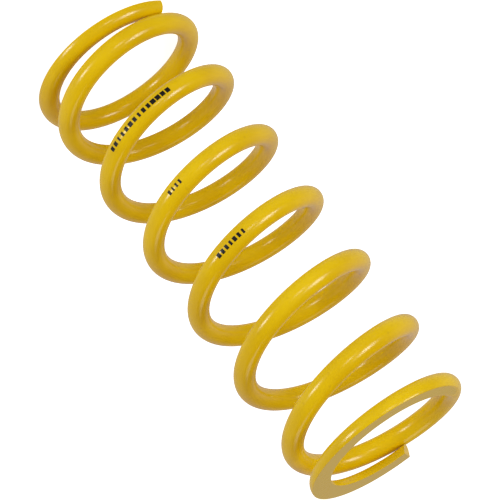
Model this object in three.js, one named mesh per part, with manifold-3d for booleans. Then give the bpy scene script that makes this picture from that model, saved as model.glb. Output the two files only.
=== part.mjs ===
// Coil spring for a rear shock absorber: one length of spring-steel wire, wound right-handed,
// with its end coils closed and ground flat.
//
// A coil spring works by twisting its wire. The wire is therefore cut square into links, and
// each cut is a hinge whose axis is the wire's own centre line. When every hinge turns, the
// round faces at a cut slide on each other and the coil pitch closes, as it does in the steel.
//
// Units are millimetres. +Z is the spring's axis. The origin is on that axis, in the plane of
// the lower ground face, and the lower tip of the wire points along +X.

import * as THREE from "three";
import { mergeVertices } from "three/addons/utils/BufferGeometryUtils.js";
import Module from "manifold-3d";

// Driving dimensions

const inside_diameter = 63;
const wire_diameter = 9.8;
const active_pitch = 37.5;
const total_turns = 7.666;

// Each end coil stays flat up to start_turns from its tip, then climbs to the full pitch, which
// it reaches at full_turns. draw_in is how much smaller the mean radius is at the tip, and
// draw_in_turns is how far from the tip that reduction has faded out.
const lower_end = { start_turns: 0.21, full_turns: 1.72, draw_in: 0, draw_in_turns: 1.7 };
const upper_end = { start_turns: 0.345, full_turns: 1.33, draw_in: 1.8, draw_in_turns: 1.7 };

const tip_thickness = 4.6;
const tip_clearance = 0.45;

// The coil between the two rigid end coils is cut into quarter turns. An end coil is at least
// least_end_turns long, so that its tip and the wire that the tip lies against move together.
const links_per_turn = 4;
const least_end_turns = 1.05;
const link_clearance = 0.25;

// Faceting of the round wire
const section_sides = 12;
const step_degrees = 7.5;

const coat_colour = 0xdcb41c;
const coat_roughness = 0.35;
const coat_metalness = 0;

// Derived dimensions

const full_turn = 2 * Math.PI;
const wire_radius = wire_diameter / 2;
const mean_radius = (inside_diameter + wire_diameter) / 2;
const active_slope = active_pitch / full_turn;
const wire_sweep = total_turns * full_turn;
const link_sweep = full_turn / links_per_turn;
const link_count = Math.floor((total_turns - 2 * least_end_turns) * links_per_turn);
const end_coil_sweep = (wire_sweep - link_count * link_sweep) / 2;

// The many-sided section has the same area as the round wire, so the steel weighs the same.
const section_radius =
  wire_radius * Math.sqrt(full_turn / (section_sides * Math.sin(full_turn / section_sides)));

function smoothstep(q) {
  const c = Math.min(Math.max(q, 0), 1);
  return c * c * (3 - 2 * c);
}

// The integral of smoothstep from 0 to q.
function smoothstep_area(q) {
  if (q <= 0) return 0;
  if (q >= 1) return q - 0.5;
  return q ** 3 - q ** 4 / 2;
}

// How far the climb has progressed at an angle from the tip, as an equivalent angle at full slope.
function climbed_angle(end, angle) {
  const start = end.start_turns * full_turn;
  const span = (end.full_turns - end.start_turns) * full_turn;
  return span * smoothstep_area((angle - start) / span);
}

// The slope of the flat coil, in mm per radian: it lets the tip just clear the second coil.
function flat_slope(end) {
  const climbed = climbed_angle(end, full_turn);
  return (wire_diameter + tip_clearance - active_slope * climbed) / (full_turn - climbed);
}

// The rise of the wire's centre line from an end's tip to an angle from that tip.
function rise_from_tip(end, angle) {
  const flat = flat_slope(end);
  return flat * angle + (active_slope - flat) * climbed_angle(end, angle);
}

// How much an end draws the mean radius in, at an angle from that end's tip.
function drawn_in(end, angle) {
  return end.draw_in * (1 - smoothstep(angle / (end.draw_in_turns * full_turn)));
}

const middle = wire_sweep / 2;
const lower_tip_height = tip_thickness - wire_radius;
const upper_tip_height =
  lower_tip_height + rise_from_tip(lower_end, middle) + rise_from_tip(upper_end, middle);
const free_length = upper_tip_height + lower_tip_height;

// The wire's centre line between two angles, measured along the coil from the lower tip.
class WireCentreLine extends THREE.Curve {
  constructor(from, to) {
    super();
    this.from = from;
    this.to = to;
  }

  getPoint(t, target = new THREE.Vector3()) {
    const angle = this.from + t * (this.to - this.from);
    const left = wire_sweep - angle;
    const radius = mean_radius - drawn_in(lower_end, angle) - drawn_in(upper_end, left);
    const height =
      angle < middle
        ? lower_tip_height + rise_from_tip(lower_end, angle)
        : upper_tip_height - rise_from_tip(upper_end, left);
    return target.set(radius * Math.cos(angle), radius * Math.sin(angle), height);
  }
}

function wire_section() {
  const corners = [];
  for (let i = 0; i < section_sides; i++) {
    const a = (full_turn * i) / section_sides;
    corners.push(new THREE.Vector2(section_radius * Math.cos(a), section_radius * Math.sin(a)));
  }
  return new THREE.Shape(corners);
}

// A stretch of round wire with both ends cut square.
function wire_between(from, to) {
  const degrees = THREE.MathUtils.radToDeg(to - from);
  return new THREE.ExtrudeGeometry(wire_section(), {
    extrudePath: new WireCentreLine(from, to),
    steps: Math.round(degrees / step_degrees),
    bevelEnabled: false,
  });
}

const wasm = await Module();
wasm.setup();

function solid_of(geometry) {
  const bare = geometry.clone();
  bare.deleteAttribute("normal");
  bare.deleteAttribute("uv");
  const merged = mergeVertices(bare, 1e-4);
  return new wasm.Manifold(
    new wasm.Mesh({
      numProp: 3,
      vertProperties: new Float32Array(merged.attributes.position.array),
      triVerts: new Uint32Array(merged.index.array),
    }),
  );
}

function geometry_of(solid) {
  const mesh = solid.getMesh();
  const geometry = new THREE.BufferGeometry();
  geometry.setAttribute("position", new THREE.BufferAttribute(mesh.vertProperties, 3));
  geometry.setIndex(new THREE.BufferAttribute(mesh.triVerts, 1));
  geometry.computeVertexNormals();
  return geometry;
}

// Takes off all the steel beyond a flat grinding plane. outward is +1 above the part, -1 below.
function ground(geometry, plane_height, outward) {
  const reach = 2 * (mean_radius + wire_diameter);
  const depth = 3 * wire_diameter;
  const waste = new THREE.BoxGeometry(reach, reach, depth);
  waste.translate(0, 0, plane_height + (outward * depth) / 2);
  return geometry_of(solid_of(geometry).subtract(solid_of(waste)));
}

function piece(name, geometry) {
  const coat = new THREE.MeshStandardMaterial({
    color: coat_colour,
    roughness: coat_roughness,
    metalness: coat_metalness,
  });
  const mesh = new THREE.Mesh(geometry, coat);
  mesh.name = name;
  return mesh;
}

// Half of each clearance between two links comes off either side of the cut.
const trim = link_clearance / 2 / mean_radius;

function lower_end_coil() {
  const wire = wire_between(0, end_coil_sweep - trim);
  return piece("lower_end_coil", ground(wire, 0, -1));
}

function upper_end_coil() {
  const wire = wire_between(wire_sweep - end_coil_sweep + trim, wire_sweep);
  return piece("upper_end_coil", ground(wire, free_length, 1));
}

function active_link(i) {
  const from = end_coil_sweep + i * link_sweep;
  const coil = Math.floor(i / links_per_turn) + 1;
  const quarter = (i % links_per_turn) + 1;
  const wire = wire_between(from + trim, from + link_sweep - trim);
  return piece(`active_coil_${coil}_quarter_${quarter}`, geometry_of(solid_of(wire)));
}

const spring = new THREE.Group();
spring.add(lower_end_coil());
for (let i = 0; i < link_count; i++) spring.add(active_link(i));
spring.add(upper_end_coil());

export default spring;
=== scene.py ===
import math

import bpy
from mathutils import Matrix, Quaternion, Vector


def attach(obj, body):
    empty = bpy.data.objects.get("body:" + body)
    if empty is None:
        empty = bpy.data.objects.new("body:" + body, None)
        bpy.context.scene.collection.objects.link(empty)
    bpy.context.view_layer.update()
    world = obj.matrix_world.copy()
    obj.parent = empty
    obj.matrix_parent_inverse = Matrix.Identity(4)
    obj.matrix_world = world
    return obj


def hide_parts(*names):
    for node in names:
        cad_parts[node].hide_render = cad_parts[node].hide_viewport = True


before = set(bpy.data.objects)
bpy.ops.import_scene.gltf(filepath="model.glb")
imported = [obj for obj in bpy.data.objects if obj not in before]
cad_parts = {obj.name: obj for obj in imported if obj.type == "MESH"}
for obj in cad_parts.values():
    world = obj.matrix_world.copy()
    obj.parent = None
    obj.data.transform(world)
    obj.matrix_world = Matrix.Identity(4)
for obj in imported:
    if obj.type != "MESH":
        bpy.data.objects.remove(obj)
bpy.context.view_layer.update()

# Camera. A long lens looks down on the spring from about 22 degrees above the floor, and is
# rolled far over, so that the spring's axis runs slantwise with its upper end nearest.

camera_aim = Vector((-0.00055, -0.00108, 0.11662))
camera_distance = 0.94217
camera_azimuth = math.radians(146.11)
camera_elevation = math.radians(22.05)
camera_roll = math.radians(144.10)

camera_forward = Vector(
    (
        -math.sin(camera_azimuth) * math.cos(camera_elevation),
        math.cos(camera_azimuth) * math.cos(camera_elevation),
        -math.sin(camera_elevation),
    )
)
lens = bpy.data.cameras.new("studio_camera")
lens.lens = 150.66
lens.sensor_width = 36
camera = bpy.data.objects.new("studio_camera", lens)
camera.location = camera_aim - camera_forward * camera_distance
camera.rotation_mode = "QUATERNION"
level = camera_forward.to_track_quat("-Z", "Y")
camera.rotation_quaternion = level @ Quaternion((0, 0, 1), camera_roll)
bpy.context.scene.collection.objects.link(camera)
bpy.context.scene.camera = camera

# Lower end coil. The wire is round bar of spring steel, wound cold. Its last coil is closed
# against the next one, and a grinding wheel has taken it flat, so that it seats square. The
# whole spring is then powder coated, ground face and all. It carries the rest.

wire_radius = 0.0049
inside_radius = 0.0315
mean_radius = inside_radius + wire_radius
full_turn = 2 * math.pi
total_sweep = 7.666 * full_turn
coil_rise = 0.0375 / full_turn
tip_thickness = 0.0046
tip_clearance = 0.00045
# Each climb is the stretch of sweep, measured from a tip, over which the wire goes from nearly
# level to the full coil rise.
lower_climb = (0.21 * full_turn, 1.72 * full_turn)
upper_climb = (0.345 * full_turn, 1.33 * full_turn)


def climbed_sweep(climb, sweep):
    """How much sweep at the full coil rise gives the climb that is made by a sweep from a tip."""
    span = climb[1] - climb[0]
    share = (sweep - climb[0]) / span
    inside = min(max(share, 0), 1)
    return span * (inside**3 - inside**4 / 2 + max(share - 1, 0))


def flat_rise(climb):
    """The rise per radian of a closed coil whose tip just clears the coil beside it."""
    climbed = climbed_sweep(climb, full_turn)
    return (2 * wire_radius + tip_clearance - coil_rise * climbed) / (full_turn - climbed)


def end_height(climb):
    """The rise of the wire from one tip to the middle of the spring."""
    sweep = total_sweep / 2
    flat = flat_rise(climb)
    return flat * sweep + (coil_rise - flat) * climbed_sweep(climb, sweep)


tip_height = tip_thickness - wire_radius
free_length = end_height(lower_climb) + end_height(upper_climb) + 2 * tip_height

wire_sizes = {
    "Wire radius": wire_radius,
    "Mean radius": mean_radius,
    "Total sweep": total_sweep,
    "Coil rise": coil_rise,
    "Lower flat rise": flat_rise(lower_climb),
    "Lower climb start": lower_climb[0],
    "Lower climb end": lower_climb[1],
    "Upper flat rise": flat_rise(upper_climb),
    "Upper climb start": upper_climb[0],
    "Upper climb end": upper_climb[1],
    "Draw in": 0.0018,
    "Draw in sweep": 1.7 * full_turn,
    "Tip height": tip_height,
    "Free length": free_length,
}


def new_group(kind, name, inputs, outputs):
    """A node group with a socket for each named input and output, and its two end nodes."""
    group = bpy.data.node_groups.new(name, kind)
    for side, sockets in (("INPUT", inputs), ("OUTPUT", outputs)):
        for label, socket_kind in sockets.items():
            socket_type = "NodeSocket" + socket_kind
            group.interface.new_socket(label, in_out=side, socket_type=socket_type)
    start = group.nodes.new("NodeGroupInput")
    end = group.nodes.new("NodeGroupOutput")
    return group, start.outputs, end.inputs


def feed(group, socket, source):
    """Links a socket to another node's output, or sets it to a plain value."""
    if isinstance(source, bpy.types.NodeSocket):
        group.links.new(source, socket)
    else:
        socket.default_value = source


def add_node(group, kind, *sources, **settings):
    """A new node with its settings, and its inputs fed in order. None leaves an input alone."""
    node = group.nodes.new(kind)
    for name, value in settings.items():
        setattr(node, name, value)
    for socket, source in zip(node.inputs, sources):
        if source is not None:
            feed(group, socket, source)
    return node


def calc(group, operation, *sources):
    """The result of one Math node."""
    return add_node(group, "ShaderNodeMath", *sources, operation=operation).outputs[0]


def vector_calc(group, operation, *sources):
    """The result of one Vector Math node whose inputs are all vectors."""
    return add_node(group, "ShaderNodeVectorMath", *sources, operation=operation).outputs[0]


def scaled(group, vector, factor):
    """A vector times a number."""
    node = add_node(group, "ShaderNodeVectorMath", vector, operation="SCALE")
    feed(group, node.inputs["Scale"], factor)
    return node.outputs[0]


def eased(group, value, start, end, low, high):
    """A smooth step from low to high as the value goes from start to end."""
    sources = (value, start, end, low, high)
    node = add_node(group, "ShaderNodeMapRange", *sources, interpolation_type="SMOOTHSTEP")
    return node.outputs[0]


def use_group(group, inner, named):
    """A group placed inside another, with its inputs fed by name."""
    kind = "GeometryNodeGroup" if group.type == "GEOMETRY" else "ShaderNodeGroup"
    node = add_node(group, kind, node_tree=inner)
    for label, source in named.items():
        feed(group, node.inputs[label], source)
    return node.outputs


# The rise of the wire from a tip: nearly level at first, then easing into the full coil rise.
rise_inputs = ["Sweep", "Flat rise", "Coil rise", "Climb start", "Climb end"]
rise_group, given, result = new_group(
    "GeometryNodeTree", "rise_from_tip", dict.fromkeys(rise_inputs, "Float"), {"Rise": "Float"}
)
climb_span = calc(rise_group, "SUBTRACT", given["Climb end"], given["Climb start"])
past_start = calc(rise_group, "SUBTRACT", given["Sweep"], given["Climb start"])
climb_share = calc(rise_group, "DIVIDE", past_start, climb_span)
climb_inside = calc(rise_group, "MINIMUM", calc(rise_group, "MAXIMUM", climb_share, 0), 1)
climb_cubed = calc(rise_group, "POWER", climb_inside, 3)
climb_easing = calc(rise_group, "MULTIPLY_ADD", climb_inside, -0.5, 1)
climb_beyond = calc(rise_group, "MAXIMUM", calc(rise_group, "SUBTRACT", climb_share, 1), 0)
climb_area = calc(rise_group, "MULTIPLY_ADD", climb_cubed, climb_easing, climb_beyond)
added_rise = calc(rise_group, "SUBTRACT", given["Coil rise"], given["Flat rise"])
added_rise = calc(rise_group, "MULTIPLY", added_rise, climb_span)
level_rise = calc(rise_group, "MULTIPLY", given["Flat rise"], given["Sweep"])
feed(rise_group, result["Rise"], calc(rise_group, "MULTIPLY_ADD", added_rise, climb_area, level_rise))

# The wire's centre line, at a sweep in radians from the lower tip.
line_group, given, result = new_group(
    "GeometryNodeTree",
    "wire_centre_line",
    dict.fromkeys(["Sweep", *wire_sizes], "Float"),
    {"Centre": "Vector"},
)
sweep_left = calc(line_group, "SUBTRACT", given["Total sweep"], given["Sweep"])
end_rises = {}
for end_name, sweep_from_tip in (("Lower", given["Sweep"]), ("Upper", sweep_left)):
    end_inputs = {
        "Sweep": sweep_from_tip,
        "Flat rise": given[end_name + " flat rise"],
        "Coil rise": given["Coil rise"],
        "Climb start": given[end_name + " climb start"],
        "Climb end": given[end_name + " climb end"],
    }
    end_rises[end_name] = use_group(line_group, rise_group, end_inputs)["Rise"]
from_lower = calc(line_group, "ADD", given["Tip height"], end_rises["Lower"])
from_upper = calc(line_group, "SUBTRACT", given["Free length"], given["Tip height"])
from_upper = calc(line_group, "SUBTRACT", from_upper, end_rises["Upper"])
lower_half = calc(line_group, "LESS_THAN", given["Sweep"], sweep_left)
height_sources = (lower_half, None, from_upper, from_lower)
line_height = add_node(line_group, "ShaderNodeMix", *height_sources)
drawn_radius = calc(line_group, "SUBTRACT", given["Mean radius"], given["Draw in"])
line_radius = eased(
    line_group, sweep_left, 0, given["Draw in sweep"], drawn_radius, given["Mean radius"]
)
line_x = calc(line_group, "MULTIPLY", line_radius, calc(line_group, "COSINE", given["Sweep"]))
line_y = calc(line_group, "MULTIPLY", line_radius, calc(line_group, "SINE", given["Sweep"]))
line_point = add_node(line_group, "ShaderNodeCombineXYZ", line_x, line_y, line_height.outputs[0])
feed(line_group, result["Centre"], line_point.outputs[0])

# A point on the wire: at a sweep, at an angle around the section from its outermost point, and
# at a distance from the centre line. The wire's direction there comes from a short step each way.
place_group, given, result = new_group(
    "GeometryNodeTree",
    "place_on_wire",
    dict.fromkeys(["Sweep", "Around", "Distance", *wire_sizes], "Float"),
    {"Position": "Vector"},
)
short_step = 0.01
centres = []
for offset in (0, short_step, -short_step):
    place_inputs = {label: given[label] for label in wire_sizes}
    place_inputs["Sweep"] = calc(place_group, "ADD", given["Sweep"], offset)
    centres.append(use_group(place_group, line_group, place_inputs)["Centre"])
wire_tangent = vector_calc(place_group, "SUBTRACT", centres[1], centres[2])
wire_tangent = vector_calc(place_group, "NORMALIZE", wire_tangent)
cosine = calc(place_group, "COSINE", given["Sweep"])
sine = calc(place_group, "SINE", given["Sweep"])
radial = add_node(place_group, "ShaderNodeCombineXYZ", cosine, sine, 0).outputs[0]
upward = vector_calc(place_group, "CROSS_PRODUCT", radial, wire_tangent)
upward = vector_calc(place_group, "NORMALIZE", upward)
sideways = vector_calc(place_group, "CROSS_PRODUCT", wire_tangent, upward)
out_part = scaled(place_group, sideways, calc(place_group, "COSINE", given["Around"]))
up_part = scaled(place_group, upward, calc(place_group, "SINE", given["Around"]))
outward = vector_calc(place_group, "ADD", out_part, up_part)
reach = scaled(place_group, outward, given["Distance"])
feed(place_group, result["Position"], vector_calc(place_group, "ADD", centres[0], reach))

# A stretch of coated wire between two sweeps, cut square at both ends and ground flat where it
# passes a ground face. It is a cylinder of many rings, wrapped onto the wire. Its lengthwise
# rows run closest together along the softly rounded edges of the ground face, and its rings
# at the two cuts, so that the next piece carries on without a step.
wire_tree, given, result = new_group(
    "GeometryNodeTree",
    "coated_wire",
    {
        "Rings": "Int",
        "Sides": "Int",
        "From sweep": "Float",
        "To sweep": "Float",
        **dict.fromkeys(wire_sizes, "Float"),
        "Edge rounding": "Float",
        "Tip thickness": "Float",
        "Upper tip reach": "Float",
        "Upper tip lean": "Float",
        "Material": "Material",
    },
    {"Geometry": "Geometry"},
)
# The rows within flat_rows of the ground side are the ground face's own. Gathering is 0 where
# rows or rings are evenly spaced. Gaps are from the centre line to the ground plane, in radii.
flat_rows = 0.35 * math.pi
row_gathering = 0.4
ring_gathering = 0.95
least_flat = math.radians(20)
gap_of_full_round = 1
gap_of_spread_rows = 2.5
angle_slack = 1e-4
bar = add_node(
    wire_tree, "GeometryNodeMeshCylinder", given["Sides"], given["Rings"], 1, 1, 1, fill_type="NGON"
)
bar_point = add_node(wire_tree, "GeometryNodeInputPosition").outputs[0]
bar_point = add_node(wire_tree, "ShaderNodeSeparateXYZ", bar_point).outputs
even_share = calc(wire_tree, "SUBTRACT", 0.5, bar_point["Z"])
ring_wave = calc(wire_tree, "SINE", calc(wire_tree, "MULTIPLY", even_share, full_turn))
along = calc(wire_tree, "MULTIPLY_ADD", ring_wave, -ring_gathering / full_turn, even_share)
whole_sweep = calc(wire_tree, "SUBTRACT", given["To sweep"], given["From sweep"])
sweep_here = calc(wire_tree, "MULTIPLY_ADD", along, whole_sweep, given["From sweep"])
row_angle = calc(wire_tree, "ARCTAN2", bar_point["Y"], bar_point["X"])

size_inputs = {label: given[label] for label in wire_sizes}
centre_here = use_group(wire_tree, line_group, {**size_inputs, "Sweep": sweep_here})["Centre"]
height_here = add_node(wire_tree, "ShaderNodeSeparateXYZ", centre_here).outputs["Z"]
depth_here = calc(wire_tree, "SUBTRACT", given["Free length"], height_here)
plane_gap = calc(wire_tree, "MINIMUM", height_here, depth_here)
gap_share = calc(wire_tree, "DIVIDE", plane_gap, given["Wire radius"])
both_ends = calc(wire_tree, "ADD", given["From sweep"], given["To sweep"])
in_lower_half = calc(wire_tree, "LESS_THAN", both_ends, given["Total sweep"])
plane_side = calc(wire_tree, "MULTIPLY_ADD", in_lower_half, -math.pi, math.pi / 2)

bounded_share = calc(wire_tree, "MINIMUM", calc(wire_tree, "MAXIMUM", gap_share, -1), 1)
flat_half = calc(wire_tree, "ARCCOSINE", bounded_share)
spread_half = eased(
    wire_tree, gap_share, gap_of_full_round, gap_of_spread_rows, least_flat, flat_rows
)
flat_half = calc(wire_tree, "MAXIMUM", flat_half, spread_half)
row_size = calc(wire_tree, "ABSOLUTE", row_angle)
row_sign = calc(wire_tree, "SIGN", row_angle)
on_flat = calc(wire_tree, "LESS_THAN", row_size, flat_rows + angle_slack)


def gathered(share):
    """Moves evenly spaced rows, from 0 to 1, closer together towards 1."""
    squared = calc(wire_tree, "MULTIPLY", share, share)
    factor = calc(wire_tree, "MULTIPLY_ADD", squared, -row_gathering, 1 + row_gathering)
    return calc(wire_tree, "MULTIPLY", share, factor)


flat_angle = gathered(calc(wire_tree, "DIVIDE", row_size, flat_rows))
flat_angle = calc(wire_tree, "MULTIPLY", flat_angle, flat_half)
round_share = calc(wire_tree, "SUBTRACT", math.pi, row_size)
round_share = gathered(calc(wire_tree, "DIVIDE", round_share, math.pi - flat_rows))
round_half = calc(wire_tree, "SUBTRACT", flat_half, math.pi)
round_angle = calc(wire_tree, "MULTIPLY_ADD", round_share, round_half, math.pi)
row_choice = add_node(wire_tree, "ShaderNodeMix", on_flat, None, round_angle, flat_angle)
around_here = calc(wire_tree, "MULTIPLY_ADD", row_choice.outputs[0], row_sign, plane_side)

# The upper tip is cropped aslant, so its inner side reaches further than the ground face. The
# lean fades out along the wire.
lean_fades_over = 0.3
deepest_share = 1.1
upper_left = calc(wire_tree, "SUBTRACT", given["Total sweep"], sweep_here)
near_upper_tip = eased(wire_tree, upper_left, 0, lean_fades_over, 1, 0)
section_up = calc(wire_tree, "MULTIPLY", calc(wire_tree, "SINE", around_here), given["Wire radius"])
point_depth = calc(wire_tree, "SUBTRACT", depth_here, section_up)
depth_share = calc(wire_tree, "DIVIDE", point_depth, given["Tip thickness"])
depth_share = calc(wire_tree, "MAXIMUM", depth_share, 0)
depth_share = calc(wire_tree, "MINIMUM", depth_share, deepest_share)
tip_lean = calc(wire_tree, "MULTIPLY", depth_share, given["Upper tip lean"])
tip_reach = calc(wire_tree, "ADD", tip_lean, given["Upper tip reach"])
tip_turn = calc(wire_tree, "DIVIDE", tip_reach, given["Mean radius"])
leaning_sweep = calc(wire_tree, "MULTIPLY_ADD", tip_turn, near_upper_tip, sweep_here)
place_inputs = {
    **size_inputs,
    "Sweep": leaning_sweep,
    "Around": around_here,
    "Distance": given["Wire radius"],
}
placed = use_group(wire_tree, place_group, place_inputs)
round_point = add_node(wire_tree, "ShaderNodeSeparateXYZ", placed["Position"]).outputs
rounding = given["Edge rounding"]
ground_z = calc(wire_tree, "SMOOTH_MAX", round_point["Z"], 0, rounding)
ground_z = calc(wire_tree, "SMOOTH_MIN", ground_z, given["Free length"], rounding)
ground_off = calc(wire_tree, "ABSOLUTE", calc(wire_tree, "SUBTRACT", ground_z, round_point["Z"]))
ground_mask = eased(wire_tree, ground_off, 0, rounding, 0, 1)
ground_point = add_node(
    wire_tree, "ShaderNodeCombineXYZ", round_point["X"], round_point["Y"], ground_z
).outputs[0]

# The sides are shaded smooth up to a sharp edge at each cut. Only a tip's edge gets a bevel.
bar_end = 0.4999
sweep_slack = 1e-3
end_distance = calc(wire_tree, "ABSOLUTE", bar_point["Z"])
at_end = calc(wire_tree, "GREATER_THAN", end_distance, bar_end)
nearer_tip = calc(wire_tree, "MINIMUM", sweep_here, upper_left)
at_tip = calc(wire_tree, "LESS_THAN", nearer_tip, sweep_slack)
at_tip = calc(wire_tree, "MULTIPLY", at_end, at_tip)
cut_face = add_node(
    wire_tree, "FunctionNodeBooleanMath", bar.outputs["Top"], bar.outputs["Bottom"], operation="OR"
).outputs[0]
side_face = add_node(wire_tree, "FunctionNodeBooleanMath", cut_face, operation="NOT").outputs[0]

bar_mesh = bar.outputs["Mesh"]
for label, domain, value in (
    ("ground_face", "POINT", ground_mask),
    ("bevel_weight_edge", "EDGE", at_tip),
):
    sources = (bar_mesh, None, label, value)
    stored = add_node(wire_tree, "GeometryNodeStoreNamedAttribute", *sources, domain=domain)
    bar_mesh = stored.outputs[0]
smoothed = add_node(wire_tree, "GeometryNodeSetShadeSmooth", bar_mesh, None, side_face).outputs[0]
smoothed = add_node(
    wire_tree, "GeometryNodeSetShadeSmooth", smoothed, at_end, False, domain="EDGE"
).outputs[0]
wrapped = add_node(wire_tree, "GeometryNodeSetPosition", smoothed, None, ground_point).outputs[0]
realized = add_node(wire_tree, "GeometryNodeRealizeInstances", wrapped).outputs[0]
coated = add_node(wire_tree, "GeometryNodeSetMaterial", realized, None, given["Material"])
feed(wire_tree, result["Geometry"], coated.outputs[0])


def set_inputs(modifier, values):
    """Gives a Geometry Nodes modifier its inputs, by the identifier of each named socket."""
    for item in modifier.node_group.interface.items_tree:
        if item.in_out == "INPUT" and item.name in values:
            modifier[item.identifier] = values[item.name]


def made_by(tree, name, values, tip_bevel=0):
    """A plain mesh object made by a Geometry Nodes tree, with a small bevel round a wire tip."""
    holder = bpy.data.objects.new(name + "_maker", bpy.data.meshes.new(name + "_maker"))
    bpy.context.scene.collection.objects.link(holder)
    modifier = holder.modifiers.new("tree", "NODES")
    modifier.node_group = tree
    set_inputs(modifier, values)
    if tip_bevel:
        bevel = holder.modifiers.new("tip_bevel", "BEVEL")
        bevel.limit_method = "WEIGHT"
        bevel.width = tip_bevel
        bevel.segments = 3
    bpy.context.view_layer.update()
    evaluated = holder.evaluated_get(bpy.context.evaluated_depsgraph_get())
    mesh = bpy.data.meshes.new_from_object(evaluated)
    mesh.name = name
    piece = bpy.data.objects.new(name, mesh)
    bpy.context.scene.collection.objects.link(piece)
    bpy.data.objects.remove(holder)
    return piece


# Powder coat: a thick, smooth polyester film, baked on. It flows into a fine orange peel, holds
# a few specks, and pulls thin and darker where it goes round the edges of a ground face. On
# the ground face itself its gloss is duller, and a paler, greyer yellow is painted in as
# painted shade and painted reflection of the grey room.
peel_group, given, result = new_group(
    "ShaderNodeTree",
    "orange_peel",
    {"Position": "Vector", "Peel size": "Float", "Speck size": "Float"},
    {"Height": "Float", "Cloud": "Float", "Speck": "Float"},
)
clouds_per_metre = 45
speck_edge = (0.05, 0.16)
peel_noise = add_node(peel_group, "ShaderNodeTexNoise", noise_dimensions="3D")
feed(peel_group, peel_noise.inputs["Vector"], given["Position"])
feed(peel_group, peel_noise.inputs["Scale"], calc(peel_group, "DIVIDE", 1, given["Peel size"]))
peel_noise.inputs["Detail"].default_value = 1.5
peel_noise.inputs["Roughness"].default_value = 0.4
feed(peel_group, result["Height"], peel_noise.outputs[0])
cloud_noise = add_node(peel_group, "ShaderNodeTexNoise", noise_dimensions="3D")
feed(peel_group, cloud_noise.inputs["Vector"], given["Position"])
cloud_noise.inputs["Scale"].default_value = clouds_per_metre
cloud_noise.inputs["Detail"].default_value = 3
feed(peel_group, result["Cloud"], cloud_noise.outputs[0])
speck_cells = add_node(peel_group, "ShaderNodeTexVoronoi", feature="F1")
feed(peel_group, speck_cells.inputs["Vector"], given["Position"])
feed(peel_group, speck_cells.inputs["Scale"], calc(peel_group, "DIVIDE", 1, given["Speck size"]))
speck = eased(peel_group, speck_cells.outputs["Distance"], *speck_edge, 1, 0)
feed(peel_group, result["Speck"], speck)

coat = bpy.data.materials.new("yellow_powder_coat")
coat.use_nodes = True
nodes = coat.node_tree
nodes.nodes.clear()
coat_place = add_node(nodes, "ShaderNodeTexCoord").outputs["Object"]
peel_size = 0.0016
peel_strength = 0.35
peel_depth = 0.00004
coat_inputs = {"Position": coat_place, "Peel size": peel_size, "Speck size": 0.006}
peel = use_group(nodes, peel_group, coat_inputs)
ground_face = add_node(nodes, "ShaderNodeAttribute", attribute_name="ground_face").outputs["Fac"]

deep_yellow = (0.81, 0.548, 0.001, 1)
warm_yellow = (0.88, 0.620, 0.001, 1)
# Painted shade and painted reflection: the ground face's paler, greyer yellow.
ground_shade_yellow = (0.69, 0.505, 0.025, 1)
thin_yellow = (0.52, 0.32, 0.01, 1)
speck_yellow = (0.62, 0.41, 0.01, 1)
cloud_step = (0.3, 0.7)
speck_strength = 0.25
thin_edge_start = (0.02, 0.25)
thin_edge_end = (0.5, 0.95)
thin_edge_strength = 0.3
ground_shade_start = (0.9, 1)
round_roughness = 0.19
cloudy_roughness = 0.08
ground_roughness = 0.04
cloud_share = eased(nodes, peel["Cloud"], *cloud_step, 0, 1)
coat_colour = add_node(nodes, "ShaderNodeMixRGB", cloud_share, deep_yellow, warm_yellow).outputs[0]
speck_share = calc(nodes, "MULTIPLY", peel["Speck"], speck_strength)
coat_colour = add_node(nodes, "ShaderNodeMixRGB", speck_share, coat_colour, speck_yellow).outputs[0]
# The ground_face mask is 0 on the round wire, 1 on the ground face, and between on the edge.
edge_rising = eased(nodes, ground_face, *thin_edge_start, 0, 1)
edge_falling = eased(nodes, ground_face, *thin_edge_end, 1, 0)
edge_share = calc(nodes, "MULTIPLY", edge_rising, edge_falling)
edge_share = calc(nodes, "MULTIPLY", edge_share, thin_edge_strength)
coat_colour = add_node(nodes, "ShaderNodeMixRGB", edge_share, coat_colour, thin_yellow).outputs[0]
# On the ground face, painted shade and painted reflection of the grey room replace the coat colour.
ground_shade_share = eased(nodes, ground_face, *ground_shade_start, 0, 1)
coat_colour = add_node(nodes, "ShaderNodeMixRGB", ground_shade_share, coat_colour, ground_shade_yellow).outputs[0]
coat_roughness = calc(nodes, "MULTIPLY_ADD", peel["Cloud"], cloudy_roughness, round_roughness)
coat_roughness = calc(nodes, "MULTIPLY_ADD", ground_face, ground_roughness, coat_roughness)

coat_bump = add_node(nodes, "ShaderNodeBump")
coat_bump.inputs["Strength"].default_value = peel_strength
coat_bump.inputs["Distance"].default_value = peel_depth
feed(nodes, coat_bump.inputs["Height"], peel["Height"])
coat_shader = add_node(nodes, "ShaderNodeBsdfPrincipled")
feed(nodes, coat_shader.inputs["Base Color"], coat_colour)
feed(nodes, coat_shader.inputs["Roughness"], coat_roughness)
feed(nodes, coat_shader.inputs["Normal"], coat_bump.outputs[0])
coat_shader.inputs["IOR"].default_value = 1.5
add_node(nodes, "ShaderNodeOutputMaterial", coat_shader.outputs[0])

degrees_per_ring = 2
wire_sides = 72
tip_bevel = 0.0008
edge_rounding = 0.0005
upper_tip_reach = 0.0012
upper_tip_lean = 0.0022


def coated_wire(name, start, stop, bevel=0):
    """One piece of the spring, between two sweeps from the lower tip."""
    values = {
        **wire_sizes,
        "Rings": round(math.degrees(stop - start) / degrees_per_ring),
        "Sides": wire_sides,
        "From sweep": start,
        "To sweep": stop,
        "Edge rounding": edge_rounding,
        "Tip thickness": tip_thickness,
        "Upper tip reach": upper_tip_reach,
        "Upper tip lean": upper_tip_lean,
        "Material": coat,
    }
    piece = made_by(wire_tree, name + "_steel", values, bevel)
    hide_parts(name)
    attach(piece, name)
    return piece


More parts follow.
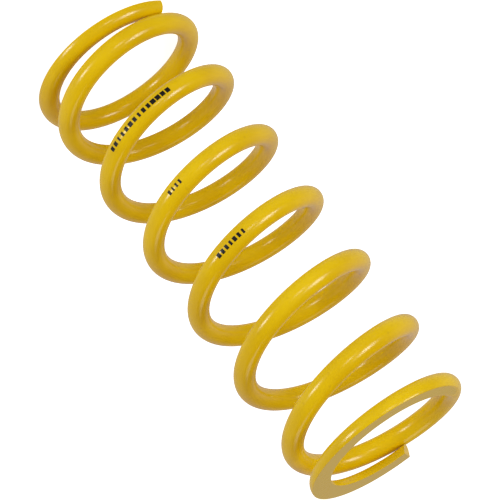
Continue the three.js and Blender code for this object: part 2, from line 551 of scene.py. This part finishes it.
link_sweep = full_turn / 4
link_count = sum(name.startswith("active_coil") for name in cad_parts)
end_sweep = (total_sweep - link_count * link_sweep) / 2
coated_wire("lower_end_coil", 0, end_sweep, tip_bevel)

# Active coils. The free coils between the two ends do the springing. The steel twists along
# them, so each quarter turn moves a little on the last one. It is one unbroken wire, and the
# coat runs on without a seam.

for i in range(link_count):
    link_start = end_sweep + i * link_sweep
    link_name = f"active_coil_{i // 4 + 1}_quarter_{i % 4 + 1}"
    coated_wire(link_name, link_start, link_start + link_sweep)

# Upper end coil. The same steel wire, closed, ground and coated as at the lower end. Towards
# its tip the coil is wound to a slightly smaller radius, and the tip is cropped aslant.

coated_wire("upper_end_coil", total_sweep - end_sweep, total_sweep, tip_bevel)

# Printed marks. Black ink is put on over the coat in three places on the outside of the wire.
# Plain blocks stand in for what is printed: they carry no letters or figures.

ink_tree, given, result = new_group(
    "GeometryNodeTree",
    "ink_blocks",
    {
        "Blocks": "Int",
        "From sweep": "Float",
        "To sweep": "Float",
        "Around": "Float",
        "Print height": "Float",
        "Least width": "Float",
        "Greatest width": "Float",
        "Film thickness": "Float",
        "Seed": "Int",
        **dict.fromkeys(wire_sizes, "Float"),
        "Material": "Material",
    },
    {"Geometry": "Geometry"},
)
block_row = add_node(ink_tree, "GeometryNodeMeshLine", given["Blocks"])
feed(ink_tree, block_row.inputs["Offset"], (1, 0, 0))
across = 9
block = add_node(ink_tree, "GeometryNodeMeshCube", (1, 1, 1), across, across, 2).outputs["Mesh"]
width_range = (None, None, given["Least width"], given["Greatest width"])
block_width = add_node(ink_tree, "FunctionNodeRandomValue", *width_range, data_type="FLOAT")
feed(ink_tree, block_width.inputs["Seed"], given["Seed"])
block_scale = add_node(ink_tree, "ShaderNodeCombineXYZ", block_width.outputs[1], 1, 1)
blocks = add_node(ink_tree, "GeometryNodeInstanceOnPoints", block_row.outputs[0])
feed(ink_tree, blocks.inputs["Instance"], block)
feed(ink_tree, blocks.inputs["Scale"], block_scale.outputs[0])
flat_blocks = add_node(ink_tree, "GeometryNodeRealizeInstances", blocks.outputs[0]).outputs[0]
block_point = add_node(ink_tree, "GeometryNodeInputPosition").outputs[0]
block_point = add_node(ink_tree, "ShaderNodeSeparateXYZ", block_point).outputs
block_share = calc(ink_tree, "ADD", block_point["X"], 0.5)
block_share = calc(ink_tree, "DIVIDE", block_share, given["Blocks"])
print_sweep = calc(ink_tree, "SUBTRACT", given["To sweep"], given["From sweep"])
block_sweep = calc(ink_tree, "MULTIPLY_ADD", block_share, print_sweep, given["From sweep"])
print_angle = calc(ink_tree, "DIVIDE", given["Print height"], given["Wire radius"])
block_around = calc(ink_tree, "MULTIPLY_ADD", block_point["Y"], print_angle, given["Around"])
block_distance = calc(
    ink_tree, "MULTIPLY_ADD", block_point["Z"], given["Film thickness"], given["Wire radius"]
)
place_inputs = {
    **{label: given[label] for label in wire_sizes},
    "Sweep": block_sweep,
    "Around": block_around,
    "Distance": block_distance,
}
block_position = use_group(ink_tree, place_group, place_inputs)["Position"]
wrapped = add_node(ink_tree, "GeometryNodeSetPosition", flat_blocks, None, block_position).outputs[0]
realized = add_node(ink_tree, "GeometryNodeRealizeInstances", wrapped).outputs[0]
inked = add_node(ink_tree, "GeometryNodeSetMaterial", realized, None, given["Material"])
feed(ink_tree, result["Geometry"], inked.outputs[0])

ink = bpy.data.materials.new("black_marking_ink")
ink.use_nodes = True
nodes = ink.node_tree
nodes.nodes.clear()
ink_place = add_node(nodes, "ShaderNodeTexCoord").outputs["Object"]
ink_inputs = {"Position": ink_place, "Peel size": peel_size, "Speck size": 0.0009}
ink_peel = use_group(nodes, peel_group, ink_inputs)
full_black = (0.012, 0.011, 0.010, 1)
thin_black = (0.07, 0.05, 0.018, 1)
thin_strength = 0.7
least_ink_roughness = 0.4
cloudy_ink_roughness = 0.15
thin_share = calc(nodes, "MULTIPLY", ink_peel["Speck"], thin_strength)
ink_colour = add_node(nodes, "ShaderNodeMixRGB", thin_share, full_black, thin_black).outputs[0]
ink_bump = add_node(nodes, "ShaderNodeBump")
ink_bump.inputs["Strength"].default_value = peel_strength
ink_bump.inputs["Distance"].default_value = peel_depth
feed(nodes, ink_bump.inputs["Height"], ink_peel["Height"])
ink_shader = add_node(nodes, "ShaderNodeBsdfPrincipled")
feed(nodes, ink_shader.inputs["Base Color"], ink_colour)
ink_roughness = calc(nodes, "MULTIPLY_ADD", ink_peel["Cloud"], cloudy_ink_roughness, least_ink_roughness)
feed(nodes, ink_shader.inputs["Roughness"], ink_roughness)
feed(nodes, ink_shader.inputs["Normal"], ink_bump.outputs[0])
ink_shader.inputs["IOR"].default_value = 1.45
add_node(nodes, "ShaderNodeOutputMaterial", ink_shader.outputs[0])

# Each row: name, the link that it is on, first and last degree of sweep from the lower tip,
# degrees around the wire from its outermost point, number of blocks.
printed_marks = (
    ("long_printed_mark", "active_coil_2_quarter_1", 757, 812, 1, 14),
    ("short_printed_mark", "active_coil_3_quarter_1", 1144.5, 1157, 0, 4),
    ("middle_printed_mark", "active_coil_4_quarter_1", 1491, 1515, 8.5, 7),
)
for seed, (mark_name, link_name, first, last, around, block_count) in enumerate(printed_marks):
    values = {
        **wire_sizes,
        "Blocks": block_count,
        "From sweep": math.radians(first),
        "To sweep": math.radians(last),
        "Around": math.radians(around),
        "Print height": 0.0023,
        "Least width": 0.3,
        "Greatest width": 0.85,
        "Film thickness": 0.00006,
        "Seed": seed,
        "Material": ink,
    }
    mark = made_by(ink_tree, mark_name, values)
    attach(mark, link_name)

# Studio. A wide floor of white paper that shows pure white, three soft lamps on the camera's
# side, one of them below the floor, one weak lamp behind, and a pale surround. The floor casts
# no shadow, so the low lamp shines up through it, and it doesn't show in the coat's gloss.

floor_mesh = bpy.data.meshes.new("studio_floor")
floor_half = 4
floor_corners = [
    (x * floor_half, y * floor_half, -0.0002) for x, y in ((-1, -1), (1, -1), (1, 1), (-1, 1))
]
floor_mesh.from_pydata(floor_corners, [], [(0, 1, 2, 3)])
floor = bpy.data.objects.new("studio_floor", floor_mesh)
bpy.context.scene.collection.objects.link(floor)

floor.visible_glossy = False
floor.visible_shadow = False

floor_glow = 0.9
paper = bpy.data.materials.new("white_paper")
paper.use_nodes = True
nodes = paper.node_tree
nodes.nodes.clear()
ray = add_node(nodes, "ShaderNodeLightPath").outputs
paper_shader = add_node(nodes, "ShaderNodeBsdfDiffuse", (0.84, 0.88, 0.92, 1))
paper_glow = add_node(nodes, "ShaderNodeEmission", (1, 1, 1, 1))
feed(nodes, paper_glow.inputs["Strength"], calc(nodes, "MULTIPLY", ray["Is Camera Ray"], floor_glow))
paper_sum = add_node(nodes, "ShaderNodeAddShader", paper_shader.outputs[0], paper_glow.outputs[0])
add_node(nodes, "ShaderNodeOutputMaterial", paper_sum.outputs[0])
floor_mesh.materials.append(paper)

# The light of the room is warm. What the glossy coat mirrors of the room is pale lilac behind
# the spring, dark towards the front, and nearly black overhead.
surround = bpy.data.worlds.new("pale_surround")
surround.use_nodes = True
surround_strength = 0.44
nodes = surround.node_tree
nodes.nodes.clear()
ray = add_node(nodes, "ShaderNodeLightPath").outputs
room_way = add_node(nodes, "ShaderNodeTexCoord").outputs["Generated"]
room_way = add_node(nodes, "ShaderNodeSeparateXYZ", room_way).outputs
front_lean = 0.8
front_step = (-0.4, 0.6)
above_step = (0.35, 0.75)
back_lilac = (1.10, 0.98, 1.10, 1)
front_dark = (0.10, 0.09, 0.09, 1)
overhead_black = (0.02, 0.02, 0.02, 1)
warm_light = (1, 0.77, 0.56, 1)
seen_grey = (1.4, 1.4, 1.4, 1)
room_front = calc(nodes, "MULTIPLY_ADD", room_way["Y"], front_lean, room_way["X"])
room_front = eased(nodes, room_front, *front_step, 0, 1)
room_above = eased(nodes, room_way["Z"], *above_step, 0, 1)
room_sources = (room_front, back_lilac, front_dark)
room_colour = add_node(nodes, "ShaderNodeMixRGB", *room_sources).outputs[0]
room_sources = (room_above, room_colour, overhead_black)
room_colour = add_node(nodes, "ShaderNodeMixRGB", *room_sources).outputs[0]
light_sources = (ray["Is Glossy Ray"], warm_light, room_colour)
surround_colour = add_node(nodes, "ShaderNodeMixRGB", *light_sources).outputs[0]
# Seen directly, the room is pale grey, so that bright edges stand out from it.
seen_sources = (ray["Is Camera Ray"], surround_colour, seen_grey)
surround_colour = add_node(nodes, "ShaderNodeMixRGB", *seen_sources).outputs[0]
surround_light = add_node(nodes, "ShaderNodeBackground", surround_colour, surround_strength)
add_node(nodes, "ShaderNodeOutputWorld", surround_light.outputs[0])
bpy.context.scene.world = surround

spring_middle = Vector((0, 0, free_length / 2))
lamp_distance = 1.3
# Each row: name, degrees round from +X, degrees up, width in metres, brightness in watts per
# square metre and steradian.
lamps = (
    ("key_lamp", -3, 36, 0.44, 9.6),
    ("low_lamp", 92, -18, 0.33, 14.0),
    ("front_lamp", 32, 18, 0.24, 6.0),
    ("back_lamp", 180, 62, 0.60, 1.5),
)
for lamp_name, turn, lift, width, brightness in lamps:
    lamp_light = bpy.data.lights.new(lamp_name, "AREA")
    lamp_light.size = width
    lamp_light.energy = math.pi * brightness * width**2
    lamp_light.color = (0.94, 1, 1)
    lamp = bpy.data.objects.new(lamp_name, lamp_light)
    turn = math.radians(turn)
    lift = math.radians(lift)
    level_reach = math.cos(lift)
    towards_lamp = Vector(
        (math.cos(turn) * level_reach, math.sin(turn) * level_reach, math.sin(lift))
    )
    lamp.location = spring_middle + towards_lamp * lamp_distance
    lamp.rotation_euler = towards_lamp.to_track_quat("Z", "Y").to_euler()
    bpy.context.scene.collection.objects.link(lamp)

bpy.context.scene.view_settings.view_transform = "Standard"
